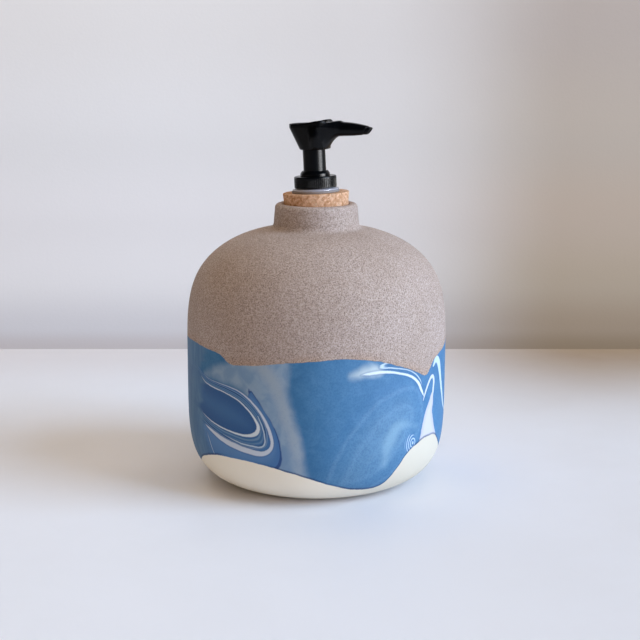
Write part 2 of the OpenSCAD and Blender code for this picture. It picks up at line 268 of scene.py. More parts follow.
class Graph:
    """Short ways to build one material out of nodes."""

    def __init__(self, name):
        self.material = bpy.data.materials.new(name)
        self.material.use_nodes = True
        self.tree = self.material.node_tree
        self.tree.nodes.clear()
        # Where a point lies on its piece, in millimetres
        self.place = self.scale(self.add("TexCoord").outputs["Object"], (1000, 1000, 1000))

    def feed(self, socket, value):
        if isinstance(value, bpy.types.NodeSocket):
            self.tree.links.new(value, socket)
        else:
            socket.default_value = value

    def add(self, kind, inputs=(), **settings):
        node = self.tree.nodes.new("ShaderNode" + kind)
        for key, value in settings.items():
            setattr(node, key, value)
        for key, value in dict(inputs).items():
            self.feed(node.inputs[key], value)
        return node

    def scale(self, vector, factors):
        return self.add("VectorMath", {0: vector, 1: factors}, operation="MULTIPLY").outputs[0]

    def math(self, operation, a, b=0.0):
        return self.add("Math", {0: a, 1: b}, operation=operation).outputs[0]

    def sum(self, *values):
        total = values[0]
        for value in values[1:]:
            total = self.math("ADD", total, value)
        return total

    def times(self, a, b):
        return self.math("MULTIPLY", a, b)

    def step(self, value, low, high, start=0.0, end=1.0):
        inputs = {"Value": value, "From Min": low, "From Max": high, "To Min": start, "To Max": end}
        return self.add("MapRange", inputs, interpolation_type="SMOOTHSTEP").outputs["Result"]

    def noise(self, scale, detail=2.0, roughness=0.5, distortion=0.0, at=None):
        inputs = {"Vector": at or self.place, "Scale": scale, "Detail": detail, "Roughness": roughness,
                  "Distortion": distortion}
        return self.add("TexNoise", inputs).outputs["Fac"]

    def wobble(self, scale, size, at=None):
        """Noise around 0 that reaches about size to either side."""
        return self.times(self.math("SUBTRACT", self.noise(scale, at=at), 0.5), 4 * size)

    def around(self, level, texture, spread):
        """A level that a texture moves by up to half of spread to either side."""
        return self.sum(level, self.times(self.math("SUBTRACT", texture, 0.5), spread))

    def cells(self, scale, output="Distance", feature="F1", at=None):
        inputs = {"Vector": at or self.place, "Scale": scale}
        return self.add("TexVoronoi", inputs, feature=feature).outputs[output]

    def value(self, name):
        return self.add("Attribute", attribute_name=name).outputs["Fac"]

    def split(self, vector):
        return self.add("SeparateXYZ", {"Vector": vector}).outputs

    def ramp(self, value, positions, *colours):
        """Colour along a value, eased between the colours at the positions."""
        node = self.add("ValToRGB", {"Fac": value})
        node.color_ramp.interpolation = "EASE"
        for _ in positions[2:]:
            node.color_ramp.elements.new(0.5)
        for element, position, colour in zip(node.color_ramp.elements, positions, colours):
            element.position = position
            element.color = rgb(*colour)
        return node.outputs["Color"]

    def mix(self, share, a, b):
        return self.add("Mix", {0: share, 6: a, 7: b}, data_type="RGBA").outputs[2]

    def bump(self, height, distance):
        inputs = {"Height": height, "Distance": distance * MM, "Strength": 1.0}
        return self.add("Bump", inputs).outputs["Normal"]

    def finish(self, colour, roughness, normal, **extra):
        inputs = {"Base Color": colour, "Roughness": roughness, "Normal": normal}
        inputs.update({key.replace("_", " "): value for key, value in extra.items()})
        shader = self.add("BsdfPrincipled", inputs)
        self.add("OutputMaterial", {"Surface": shader.outputs[0]})
        return self.material


# ---- marbled pattern
# The band's pattern is laid out on the unrolled body. Points are (degrees, height, half width); degrees run
# rightwards from the meridian that faces the camera, which lies FACING degrees round from the spout.
FACING = -70
PERIOD = 2 * math.pi * BODY_R
DEGREE = PERIOD / 360
# Only points between these heights are measured; a field is FAR where no shape is near
PATTERN_LOW, PATTERN_HIGH, FAR = 2, 86, 60.0

TAUPE_EDGE = [
    (-180, 69), (-160, 74), (-140, 72), (-120, 65), (-100, 70), (-72, 73.5), (-52, 72.8), (-44, 71.2),
    (-38.5, 68), (-28, 69), (-8, 71.5), (12, 73), (26, 71), (38, 67), (48, 62.3), (55, 60), (62, 66),
    (74, 69), (92, 72), (110, 68), (122, 61), (135, 67), (155, 72),
]
CREAM_EDGE = [
    (-180, 20), (-160, 13), (-140, 9), (-122, 20), (-108, 22), (-92, 13), (-76, 11), (-62, 17.5),
    (-50, 21.2), (-38, 22.6), (-26, 22), (-12, 19), (2, 14), (15, 9.4), (26, 8), (32.5, 9.5), (38.5, 18),
    (43, 24), (49, 27.5), (57, 29), (65, 27.5), (76, 19), (92, 11), (112, 14), (130, 24), (148, 27),
    (164, 24),
]

# Swirl: a dark drop inside paler rings. Lines with a half width below 0 are hidden there.
CORE_LINE = [
    (-74, 60, -1), (-63, 60.4, -0.7), (-58, 58, 0), (-54.5, 56.1, 0.15), (-49.5, 55.2, 0.2),
    (-41, 53.8, 0.2), (-33, 50.5, 0.25), (-27.5, 45.5, 0.4), (-24.7, 40.5, 0.75), (-26, 36.5, 0.95),
    (-31, 34.9, 0.55), (-40, 35.8, 0.3), (-50, 38, 0.2), (-57, 40.3, 0), (-64, 42.5, -0.7), (-74, 45, -1),
]
OUTER_LINE = [
    (-76, 64, -1), (-64, 63.2, -0.8), (-56, 59.6, -0.1), (-50, 58.2, 0), (-40, 57.3, 0.1),
    (-32, 54.8, 0.25), (-25.5, 49.5, 0.45), (-20.8, 42, 0.65), (-18.9, 35, 0.7), (-19.5, 30, 0.85),
    (-23.5, 27.3, 1.1), (-32, 28, 1.25), (-44, 30.8, 1.15), (-53, 34.3, 0.5), (-58, 36.4, -0.4),
    (-66, 39, -1), (-76, 41.5, -1),
]
INNER_THREAD = [
    (-25, 46, 0.1), (-22.6, 40, 0.2), (-21.8, 34, 0.25), (-23.5, 30.6, 0.25), (-29, 30.3, 0.25),
    (-36, 31.4, 0.2), (-44, 33.6, -0.1),
]
LOW_THREAD = [(-55.5, 33, -0.2), (-53.5, 29, 0.12), (-51.5, 24, 0.15), (-50, 20, 0.1)]
RING = [
    (-29.6, 57.6), (-27.6, 57), (-23.4, 51), (-19.3, 44.5), (-16.3, 37.5), (-14.8, 31), (-14.6, 25),
    (-17, 20), (-26, 15), (-52, 14), (-64, 24), (-64, 50), (-46, 52), (-34, 52), (-29.5, 54),
]
PALE = [
    (-56, 60), (-50, 64), (-42, 68), (-32, 73), (-13, 75), (-12, 62), (-11, 52), (-8.5, 42), (-5.5, 31),
    (-3.5, 20), (-5, 8), (-20, 8), (-22, 40), (-32, 56), (-45, 58.5),
]
SHADE = [
    (-56, 84), (-58, 66), (-58.5, 58), (-58.5, 45), (-57.5, 38), (-56, 30), (-53, 20), (-52, 4), (-84, 4),
    (-90, 40), (-84, 84),
]
CREST = [
    (-30, 71, 1), (-23, 68.5, 2), (-17.5, 62, 2.8), (-14.5, 53, 2.4), (-11.5, 43, 2.3), (-8.8, 33, 2.2),
    (-7, 24, 2.2), (-7.5, 17, 2),
]

# Veins: white threads that run up to a hairpin, and a pale tongue below it
MAIN_VEIN = [
    (18, 65.2, -0.3), (22, 65.6, 0.5), (29, 65.6, 0.6), (37, 64, 0.45), (44, 61, 0.5), (48.5, 57.2, 0.65),
    (51.2, 53, 0.6), (53, 49.5, 0.1),
]
UPPER_THREAD = [
    (33, 69.8, 0.1), (29, 69.4, 0.3), (26.8, 68.4, 0.35), (28.5, 67.6, 0.3), (34, 66.9, 0.25),
    (41, 65, 0.15), (46.5, 61.9, 0.2), (49.6, 58.6, 0.2), (51.6, 54.8, -0.1),
]
HAIRPIN = [
    (52.2, 47, 0.1), (54.5, 52, 0.6), (57.5, 56.5, 0.7), (59.8, 58, 0.8), (61.4, 56.3, 0.8),
    (61.2, 52.5, 0.8), (60, 47, 0.7),
]
EDGE_VEIN = [
    (60, 61.8, 0.2), (63.8, 65.4, 1.5), (67, 62.5, 1.8), (69.8, 55.5, 1.5), (72.5, 48, 1.3), (76, 41, 1),
    (82, 35, 0.3),
]
TONGUE = [
    (60.2, 50), (57.8, 46.5), (54.6, 42), (52.6, 37), (51.3, 31), (49.6, 24), (48.6, 16), (69, 16),
    (67, 25), (64, 31), (61.6, 36), (60.5, 41), (61, 46),
]
CLOUD = [(14, 65.5), (18, 64), (24, 64.6), (28, 66), (26, 69), (22.5, 69.6), (18, 68)]
HALO = [(30.5, 21, 1.6), (32, 30, 2.6), (35, 36.5, 2.2), (40.5, 38.5, 1.5), (48, 36, 0.4)]
LOBE = [
    (5, 12), (9, 26), (15, 37), (22, 46.5), (31, 53), (41, 55.5), (49, 52), (52, 44), (50, 35), (44, 26),
    (36, 16), (24, 8), (10, 6),
]
EYE = (46, 28.5)


def moved(points, centre, to, stretch, lift=0.0):
    """The same shape elsewhere on the body: turned about a middle degree, widened and lifted."""
    return [(to + (p[0] - centre) * stretch, p[1] + lift, *p[2:]) for p in points]


def smooth_curve(points, closed=False, parts=10):
    """Rounded line through the points, as rows of (run round the body, height, half width)."""
    p = np.array([(a * DEGREE, z, w[0] if w else 0.0) for a, z, *w in points])
    n = len(p)
    out = []
    for i in range(n if closed else n - 1):
        a, b = p[i], p[(i + 1) % n]
        before = p[i - 1] if closed or i else 2 * a - b
        after = p[(i + 2) % n] if closed or i + 2 < n else 2 * b - a
        for k in range(parts):
            t = k / parts
            out.append(0.5 * (2 * a + (b - before) * t + (2 * before - 5 * a + 4 * b - after) * t * t
                              + (3 * a - before - 3 * b + after) * t ** 3))
    out.append(p[0] if closed else p[-1])
    return np.array(out)


def near_curve(run, height, curve):
    """Signed distance to a curve, its half width there, what lies past its ends, and run on its side."""
    middle = (curve[:, 0].min() + curve[:, 0].max()) / 2
    run = (run - middle + PERIOD / 2) % PERIOD - PERIOD / 2 + middle
    a, b = curve[:-1], curve[1:]
    d = b - a
    length = np.maximum((d[:, :2] ** 2).sum(-1), 1e-9)
    found = [np.empty(len(run)) for _ in range(3)]
    chunk = 8000
    for at in range(0, len(run), chunk):
        part = slice(at, at + chunk)
        x, y = run[part, None] - a[:, 0], height[part, None] - a[:, 1]
        t = (x * d[:, 0] + y * d[:, 1]) / length
        near = np.clip(t, 0, 1)
        gap = np.hypot(x - near * d[:, 0], y - near * d[:, 1])
        best = gap.argmin(1)
        row = np.arange(len(best))
        side = np.sign(d[best, 0] * y[row, best] - d[best, 1] * x[row, best])
        found[0][part] = np.where(side == 0, 1, side) * gap[row, best]
        found[1][part] = a[best, 2] + near[row, best] * d[best, 2]
        found[2][part] = ((best == 0) & (t[row, best] < 0)) | ((best == len(a) - 1) & (t[row, best] > 1))
    return (*found, run)


def thread_field(run, height, threads):
    """For thin lines: the signed distance to the nearest one and its half width, below 0 far from it."""
    fade_from = 3
    side, half, best = np.zeros(len(run)), np.full(len(run), -1.0), np.full(len(run), np.inf)
    for thread in threads:
        distance, width, past, _ = near_curve(run, height, smooth_curve(thread))
        gap = np.abs(distance) - width
        width = np.where(past > 0, -1, width - np.maximum(0, np.abs(distance) - fade_from))
        closer = gap < best
        side[closer], half[closer], best[closer] = distance[closer], width[closer], gap[closer]
    return side, half


def patch_field(run, height, patches):
    """For filled shapes: the distance to the nearest edge, below 0 inside."""
    best = np.full(len(run), FAR)
    for patch in patches:
        curve = smooth_curve(patch, closed=True)
        distance, _, _, x = near_curve(run, height, curve)
        inside = np.zeros(len(run), bool)
        for a, b in zip(curve[:-1], curve[1:]):
            spans = (a[1] > height) != (b[1] > height)
            with np.errstate(divide="ignore", invalid="ignore"):
                inside ^= spans & (x < (b[0] - a[0]) * (height - a[1]) / (b[1] - a[1]) + a[0])
        best = np.minimum(best, np.where(inside, -1, 1) * np.abs(distance))
    return best


def streak_field(run, height, streaks):
    """For soft broad strokes: the distance to the edge of the nearest one, below 0 inside."""
    best = np.full(len(run), FAR)
    for streak in streaks:
        distance, width, _, _ = near_curve(run, height, smooth_curve(streak))
        best = np.minimum(best, np.abs(distance) - width)
    return best


def edge_height(degrees, edge):
    """Height of a wavy edge that runs right round the body."""
    curve = smooth_curve([(edge[-1][0] - 360, edge[-1][1])] + edge + [(a + 360, z) for a, z in edge[:2]])
    return np.interp((degrees + 180) % 360 - 180, curve[:, 0] / DEGREE, curve[:, 1])


def swirl(shape):
    """A shape of the swirl, and where it comes back at the far side of the body."""
    return [shape, moved(shape, -38, 168, -0.9, 1)]


def veins(shape):
    """A shape of the veins, and where it comes back round the body."""
    return [shape, moved(shape, 48, 118, -1, 1.5), moved(shape, 48, -112, 0.95, 1)]


def paint_bottle(mesh, outside):
    """Stores the pattern's distances at the bottle's points."""
    co = np.empty(len(mesh.vertices) * 3)
    mesh.vertices.foreach_get("co", co)
    co = co.reshape(-1, 3) / MM
    degrees = (np.degrees(np.arctan2(co[:, 1], co[:, 0])) - FACING + 180) % 360 - 180
    height = co[:, 2]
    band = np.flatnonzero(outside & (height < PATTERN_HIGH) & (height > PATTERN_LOW))
    x, z = degrees[band] * DEGREE, height[band]
    patches = {
        "core": swirl(CORE_LINE), "between": swirl(OUTER_LINE), "ring": swirl(RING), "pale": swirl(PALE),
        "shade": swirl(SHADE), "tongue": veins(TONGUE), "cloud": veins(CLOUD), "lobe": veins(LOBE),
    }
    streaks = {"halo": veins(HALO), "crest": swirl(CREST)}
    threads = {
        "threads_a": swirl(CORE_LINE) + veins(MAIN_VEIN),
        "threads_b": swirl(OUTER_LINE) + veins(HAIRPIN),
        "threads_c": swirl(INNER_THREAD) + veins(UPPER_THREAD) + veins(EDGE_VEIN) + swirl(LOW_THREAD),
    }
    fields = {name: patch_field(x, z, shapes) for name, shapes in patches.items()}
    fields.update({name: streak_field(x, z, shapes) for name, shapes in streaks.items()})
    for name, lines in threads.items():
        fields[name + "_side"], fields[name + "_half"] = thread_field(x, z, lines)
    eyes = [shapes[0] for shapes in veins([EYE])]
    right = np.array([(x - a * DEGREE + PERIOD / 2) % PERIOD - PERIOD / 2 for a, _ in eyes])
    up = np.array([z - b for _, b in eyes])
    nearest = np.hypot(right, up).argmin(0), np.arange(len(band))
    fields["eye_x"], fields["eye_y"] = right[nearest], up[nearest]
    store(mesh, "taupe", height - edge_height(degrees, TAUPE_EDGE))
    store(mesh, "cream", edge_height(degrees, CREAM_EDGE) - height)
    store(mesh, "inside", np.where(outside, 0.0, 1.0))
    for name, values in fields.items():
        whole = np.full(len(co), -1.0 if name.endswith("_half") else FAR)
        whole[band] = values
        store(mesh, name, whole)


def stoneware():
    """Speckled taupe over a marbled blue band over plain cream, with a clear glaze inside."""
    g = Graph("stoneware")
    wander = g.sum(g.wobble(0.1, 0.45), g.wobble(0.9, 0.1))
    veil = g.noise(0.13, 3, 0.55, 0.8)
    fibre = g.noise(1.1, 3, 0.7, 0.3)
    mist = g.wobble(0.09, 1.3)
    fade = g.step(g.noise(0.06, 1), 0.38, 0.6)

    def inside(name, soft, drift=wander):
        return g.step(g.sum(g.value(name), drift), soft, -soft)

    def line(value, centre, half, soft=0.55):
        return g.step(g.math("ABSOLUTE", g.math("SUBTRACT", value, centre)), half, half * soft)

    def share(inner, outer):
        """Runs from 0 at the edge of the inner shape to 1 at the edge of the outer one."""
        a = g.math("MAXIMUM", g.value(inner), 0)
        b = g.math("MAXIMUM", g.times(g.value(outer), -1), 0)
        return g.math("DIVIDE", a, g.sum(a, b, 0.001))

    # Blue ground, darkest beside the pale sweep, with a lighter lobe and contours that follow its edge
    past = g.sum(g.value("pale"), g.times(mist, 2))
    colour = g.mix(g.step(past, 3, 17), rgb(58, 108, 150), rgb(69, 118, 160))
    lobe = g.sum(g.value("lobe"), g.times(mist, 0.8))
    colour = g.mix(g.step(lobe, 5, -16), colour, rgb(93, 134, 168))
    for centre, half, most, tint in (
        (0.2, 1.9, 0.18, rgb(132, 168, 200)), (-7.5, 2.2, 0.12, rgb(140, 178, 210)),
        (4.8, 2.2, 0.2, rgb(56, 108, 156)), (-12.5, 1.6, 0.12, rgb(70, 120, 166)),
    ):
        colour = g.mix(g.times(line(lobe, centre, half, 0), most), colour, tint)
    colour = g.mix(g.step(veil, 0.34, 0.72, 0, 0.16), colour, rgb(110, 158, 198))
    colour = g.mix(g.step(fibre, 0.44, 0.62, 0, 0.34), colour, rgb(50, 94, 136))

    # Soft washes
    colour = g.mix(g.times(inside("halo", 2.6, mist), 0.46), colour, rgb(142, 178, 200))
    colour = g.mix(g.times(inside("cloud", 2.6, mist), 0.74), colour, rgb(208, 218, 218))
    grey = g.mix(g.step(veil, 0.35, 0.65), rgb(118, 146, 176), rgb(138, 160, 182))
    grey = g.mix(inside("crest", 3.6, mist), grey, rgb(153, 166, 180))
    grey = g.mix(g.step(fibre, 0.5, 0.8, 0, 0.35), grey, rgb(108, 136, 168))
    colour = g.mix(g.times(inside("pale", 2.6, mist), 0.95), colour, grey)

    # Swirl, from the outside in
    across = share("between", "ring")
    ring = g.mix(g.step(across, 0.1, 0.75), rgb(92, 132, 180), rgb(72, 114, 166))
    ring = g.mix(line(across, 0.93, 0.12), ring, rgb(52, 82, 134))
    colour = g.mix(inside("ring", 0.35), colour, ring)
    across = share("core", "between")
    between = g.mix(g.step(across, 0.1, 0.9), rgb(64, 106, 152), rgb(70, 114, 164))
    wave = g.sum(across, g.times(mist, 0.03))
    for centre, half, most, tint in (
        (0.24, 0.075, 0.5, rgb(128, 158, 186)), (0.46, 0.05, 0.45, rgb(118, 150, 182)),
        (0.6, 0.07, g.times(fade, 0.9), rgb(44, 72, 118)), (0.72, 0.05, 0.6, rgb(136, 160, 190)),
    ):
        between = g.mix(g.times(line(wave, centre, half), most), between, tint)
    colour = g.mix(inside("between", 0.25), colour, between)
    core = g.mix(g.step(g.value("core"), -9, -1), rgb(65, 105, 154), rgb(53, 91, 141))
    core = g.mix(g.step(fibre, 0.48, 0.75, 0, 0.3), core, rgb(76, 108, 148))
    colour = g.mix(inside("core", 0.3), colour, core)

    # Shaded side, with soft bent bands and an edge pulled out into fingers
    stripes = g.noise(0.16, 4, 0.6, 1.2, g.scale(g.place, (1, 1, 0.2)))
    shade = g.mix(g.step(stripes, 0.36, 0.66), rgb(76, 112, 150), rgb(92, 128, 162))
    fingers = g.wobble(0.22, 3.2, g.scale(g.place, (0.12, 0.12, 1)))
    colour = g.mix(g.times(inside("shade", 3, g.sum(mist, fingers)), 0.9), colour, shade)

    # Threads, veins, the tongue below the hairpin, and small ripples beside it
    for name, tint, most in (
        ("threads_c", rgb(200, 218, 230), 0.85), ("threads_a", rgb(218, 228, 234), 0.9),
        ("threads_b", rgb(206, 214, 226), 0.9),
    ):
        away = g.math("ABSOLUTE", g.sum(g.value(name + "_side"), g.times(wander, 0.6)))
        edge = g.math("SUBTRACT", g.value(name + "_half"), away)
        colour = g.mix(g.times(g.step(edge, -1.1, -0.2), 0.32), colour, rgb(44, 84, 136))
        colour = g.mix(g.times(g.step(edge, -0.32, 0.25), most), colour, tint)
    tongue = g.mix(g.step(g.value("tongue"), -0.4, -3), rgb(188, 189, 202), rgb(199, 198, 208))
    colour = g.mix(g.times(inside("tongue", 0.3), 0.96), colour, tongue)
    far_x = g.math("POWER", g.times(g.value("eye_x"), 1.35), 2)
    far = g.math("SQRT", g.sum(far_x, g.math("POWER", g.value("eye_y"), 2)))
    near = g.step(g.sum(far, g.times(g.value("eye_x"), 0.6)), 4.6, 3.2)
    rings = g.step(g.math("SINE", g.times(far, 3.6)), -0.1, 0.8)
    colour = g.mix(g.times(near, 0.5), colour, rgb(64, 112, 164))
    colour = g.mix(g.times(g.times(rings, near), 0.85), colour, rgb(186, 208, 228))

    # Cream foot with a dark line along its edge, and painted light and shade across it
    cream_edge = g.sum(g.value("cream"), g.times(wander, 0.8))
    rim = g.times(g.step(cream_edge, -1.35, -0.55), g.step(g.noise(0.03, 1), 0.34, 0.55))
    colour = g.mix(g.times(rim, 0.7), colour, rgb(42, 62, 104))
    x, y, _ = g.split(g.place)
    # Painted light and shade: the cream is lighter on the side away from the window and darker on the
    # window's side, evening out the light on it
    cream_painted_light = g.step(g.sum(x, g.times(y, 0.36), g.times(mist, 2)), 52, -6)
    cream = g.mix(cream_painted_light, rgb(209, 203, 190), rgb(246, 238, 222))
    cream = g.mix(g.noise(0.05, 3, 0.6), cream, g.mix(0.15, cream, rgb(206, 188, 160)))
    pit = g.step(g.cells(0.11), 0.05, 0.025)
    cream = g.mix(g.times(pit, 0.3), cream, rgb(190, 160, 140))
    cream_share = g.step(cream_edge, -0.15, 0.15)
    colour = g.mix(cream_share, colour, cream)

    # Speckled taupe, warmer towards its edge
    taupe_edge = g.sum(g.value("taupe"), wander)
    speck = g.cells(1.4)
    which = g.split(g.cells(1.4, "Color"))
    dark = g.times(g.step(speck, 0.48, 0.26), g.step(which[0], 0.46, 0.6))
    light = g.times(g.step(speck, 0.46, 0.22), g.step(which[0], 0.2, 0.08))
    dust = g.noise(1.5, 3, 0.85)
    cloudy = g.noise(0.035, 3)
    taupe = g.mix(g.step(cloudy, 0.3, 0.7), rgb(181, 163, 154), rgb(188, 171, 164))
    warm = g.times(g.step(taupe_edge, 5, 0.2), g.step(g.noise(0.05), 0.35, 0.6, 0.1, 1))
    taupe = g.mix(g.times(warm, 0.42), taupe, rgb(176, 142, 118))
    taupe = g.mix(g.step(dust, 0.42, 0.6, 0, 0.68), taupe, rgb(122, 102, 90))
    taupe = g.mix(g.times(light, 0.45), taupe, rgb(206, 190, 180))
    taupe = g.mix(g.times(dark, 0.55), taupe, rgb(96, 80, 70))
    taupe_share = g.step(taupe_edge, -0.15, 0.2)
    colour = g.mix(taupe_share, colour, taupe)
    colour = g.mix(g.value("inside"), colour, rgb(226, 218, 202))

    # Matt body with a fine tooth, smoother where it isn't speckled; the zones meet in a slight step
    tooth = g.sum(g.times(dark, -0.7), g.times(light, 0.5), g.times(dust, 0.9), g.times(fibre, 0.5))
    height = g.sum(g.times(tooth, g.step(taupe_share, 0, 1, 0.16, 1)),
                   g.times(taupe_share, 1.1), g.times(cream_share, -0.8))
    rough = g.around(g.sum(0.56, g.times(taupe_share, 0.1)), dust, 0.16)
    rough = g.sum(rough, g.times(g.value("inside"), -0.3))
    return g.finish(colour, rough, g.bump(height, 0.075), Specular_IOR_Level=0.16)


def make_bottle():
    """The hollow body: outside, lip, bore, inside and floor in one closed skin, never quite true."""
    foot_r, heel_z, shoulder_z, shoulder_top = 36.0, 58.0, 62.0, 125.0
    wall, floor, recess = 4.2, 5.0, 1.2
    neck_r, bore_r, fillet = 20.2, 16.05, 3.0
    neck_foot_r = neck_r + 0.7
    ring_in, ring_out = 28.1, 29.2
    lip_round, edge_round = 2, 1.2
    heel_power, shoulder_r_power, shoulder_z_power = 0.39, 1.27, 0.51
    turn = np.linspace(0, math.pi / 2, 500)

    def heel(inset, lift):
        r = foot_r - inset / 2 + (BODY_R - foot_r - inset / 2) * np.sin(turn)
        return np.stack([r, lift + (heel_z - lift) * (1 - np.cos(turn) ** heel_power)], -1)

    def shoulder(inset, end_r):
        last = bore_r + 3.9
        r = last + (BODY_R - inset - last) * np.cos(turn) ** shoulder_r_power
        z = shoulder_z + (shoulder_top - inset - shoulder_z) * np.sin(turn) ** shoulder_z_power
        return np.stack([r, z], -1)[r >= end_r]

    def arc(r, z, size, start, end):
        a = np.radians(np.linspace(start, end, 24))
        return np.stack([r + size * np.cos(a), z + size * np.sin(a)], -1)

    fillet_z = shoulder_top - 0.3 + fillet
    throat = shoulder_top - wall - 1.2
    foot = rounded([(0, recess, 0), (ring_in, recess, 0.5), (ring_out, 0, 0.4), (foot_r + 2, 0, 0)], 2.0)
    foot = foot[foot[:, 0].argmin():][:-1]
    foot = foot[: int(np.argmax(foot[:, 0] > foot_r - 0.5))]
    outer = np.r_[heel(0, 0), shoulder(0, neck_foot_r + fillet + 0.5),
                  arc(neck_foot_r + fillet, fillet_z, fillet, 262, 185)]
    neck = np.r_[outer[-1:], arc(neck_r - lip_round, LIP_Z - lip_round, lip_round, 5, 90),
                 arc(bore_r + edge_round, LIP_Z - edge_round, edge_round, 90, 180)]
    bore = np.array([[bore_r, LIP_Z - edge_round], [bore_r, throat + 2], [bore_r + 2, throat]])
    inner = np.r_[shoulder(wall, bore_r + 4)[::-1], heel(wall, floor)[::-1]]
    base = np.array([inner[-1], [0, floor]])
    parts = [foot, even(outer, 1.25), even(neck, 0.6)[1:], even(bore, 2)[1:], even(inner, 4),
             even(base, 4)[1:]]
    sides = 320
    points, faces = revolve(np.concatenate(parts), sides, closed=False)
    shown = len(foot) + len(parts[1]) + int(np.argmin(np.abs(parts[2][:, 0] - bore_r)))
    outside = np.zeros(len(points), bool)
    outside[: (shown - 1) * sides] = True
    outside[-2] = True
    # A hand-finished body wanders by a tenth or two of a millimetre
    low, high, ease = 1.5, LIP_Z - 9, 12
    for i in np.flatnonzero(outside & (points[:, 2] > low) & (points[:, 2] < high)):
        p = Vector(points[i])
        reach = min(1, (p.z - low) / ease, (high - p.z) / ease)
        push = (noise.noise(p * 0.018) * 0.20 + noise.noise(p * 0.06 + Vector((9, 4, 2))) * 0.05) * reach
        r = math.hypot(p.x, p.y)
        points[i, :2] *= 1 + (push - 0.1) / max(r, 1)
    piece = make_piece("bottle_body", points, faces, stoneware(), "bottle", ["ceramic_bottle"])
    paint_bottle(piece.data, outside)


# ---- stopper


def cork():
    """Pressed cork granules in mixed browns, with dark seams and open pits."""
    g = Graph("pressed_cork")
    drift = g.add("TexNoise", {"Vector": g.place, "Scale": 0.9}).outputs["Color"]
    drift = g.scale(drift, (1.8, 1.8, 1.8))
    bent = g.add("VectorMath", {0: g.place, 1: drift}, operation="ADD").outputs[0]
    tone = g.split(g.cells(1, "Color", at=bent))
    seam = g.cells(1, feature="DISTANCE_TO_EDGE", at=bent)
    bark = g.noise(3.2, 4, 0.7)
    colour = g.mix(tone[0], rgb(190, 136, 95), rgb(238, 194, 162))
    colour = g.mix(g.step(tone[1], 0.82, 1, 0, 0.35), colour, rgb(172, 120, 82))
    colour = g.mix(g.step(tone[2], 0.8, 1, 0, 0.4), colour, rgb(240, 208, 178))
    colour = g.mix(g.step(bark, 0.54, 0.78, 0, 0.5), colour, rgb(150, 100, 66))
    colour = g.mix(g.step(seam, 0.07, 0, 0, 0.16), colour, rgb(140, 92, 60))
    pits = g.step(g.value("pit"), 0.25, 0.9)
    colour = g.mix(g.times(pits, 0.55), colour, rgb(104, 66, 44))
    height = g.sum(g.times(g.step(seam, 0, 0.2), 0.55), g.times(bark, -0.8), g.times(tone[0], 0.3))
    return g.finish(colour, 0.82, g.bump(height, 0.22), Specular_IOR_Level=0.15)


def make_cork():
    """Tapered plug with a bore, its skin pitted where granules have come away."""
    taper = math.tan(math.radians(4.6))
    top_r, bore, pits = CORK_R + 0.04, 7.6, 900
    low_r = top_r - (CORK_HIGH - CORK_LOW) * taper
    profile = rounded([(bore, CORK_LOW, 0.3), (low_r, CORK_LOW, 0.6), (top_r, CORK_HIGH, 0.45),
                       (bore, CORK_HIGH, 0.2)], 0.42)
    points, faces = revolve(profile, 264)
    rng = np.random.default_rng(7)
    seeds = KDTree(pits)
    size = rng.uniform(0.25, 0.75, pits)
    for i in range(pits):
        a, z = rng.uniform(0, 2 * math.pi), rng.uniform(CORK_LOW, CORK_HIGH)
        r = 12 + 4.4 * rng.uniform() ** 0.4
        seeds.insert((r * math.cos(a), r * math.sin(a), z), i)
    seeds.balance()
    pit = np.zeros(len(points))
    for i, p in enumerate(points):
        r = math.hypot(p[0], p[1])
        if r < bore + 2.2:
            continue
        _, which, gap = seeds.find(p)
        pit[i] = max(0, 1 - gap / size[which])
        bumpy = noise.noise(Vector(p) * 0.55) * 0.05 + noise.noise(Vector(p) * 1.3) * 0.035
        depth = 0.30 * pit[i] ** 0.7 + 0.06 - bumpy
        if p[2] > CORK_HIGH - 0.3 and r < CORK_R - 0.5:
            points[i, 2] -= min(depth, 0.25)
        else:
            points[i, :2] *= 1 - depth / r
    piece = make_piece("cork_plug", lean(points), faces, cork(), "stopper", ["cork_stopper"])
    store(piece.data, "pit", pit)


# ---- pump


def black_plastic(name, roughness, sheen, mottle):
    """Moulded black plastic: a faint orange-peel, dust and handling marks."""
    g = Graph(name)
    smear = g.noise(0.18, 3, 0.6, 0.8)
    speck = g.step(g.cells(0.5), 0.09, 0.04)
    colour = g.mix(g.noise(0.3), rgb(3, 4, 6), rgb(8, 9, 12))
    colour = g.mix(g.times(speck, 0.3), colour, rgb(44, 44, 48))
    rough = g.around(roughness, smear, mottle)
    peel = g.sum(g.noise(0.8), g.times(g.noise(5), 0.15))
    return g.finish(colour, rough, g.bump(peel, 0.02), Specular_IOR_Level=sheen)


def milky_plastic(name, tint, roughness):
    """Undyed moulded plastic that lets a little light into it."""
    g = Graph(name)
    haze = g.noise(0.12, 3, 0.55, 0.5)
    colour = g.mix(haze, rgb(*tint), rgb(*[min(255, c + 14) for c in tint]))
    marks = g.noise(1.2, at=g.scale(g.place, (1, 1, 0.15)))
    rough = g.around(roughness, marks, 0.15)
    return g.finish(colour, rough, g.bump(marks, 0.03), Subsurface_Weight=0.25,
                    Subsurface_Radius=(0.004, 0.004, 0.004), Subsurface_Scale=0.4)


def foam():
    """Closed-cell washer with fine pores, coloured a mid grey that is darker than its pale material: painted
    shade under the collar.
    """
    g = Graph("closed_cell_foam")
    pores = g.cells(2.6)
    # Painted shade: the washer's pale material is coloured a darker grey for the shade under the collar
    colour = g.mix(g.step(pores, 0.1, 0.45), rgb(112, 102, 97), rgb(136, 126, 122))
    return g.finish(colour, 0.7, g.bump(pores, 0.08))


def steel(name, roughness, along):
    """Bright drawn steel with hairline marks."""
    g = Graph(name)
    hair = g.noise(1.5, 3, 0.6, at=g.scale(g.place, along))
    colour = g.mix(hair, rgb(176, 178, 182), rgb(212, 214, 218))
    rough = g.around(roughness, hair, 0.12)
    return g.finish(colour, rough, g.bump(hair, 0.01), Metallic=1.0)


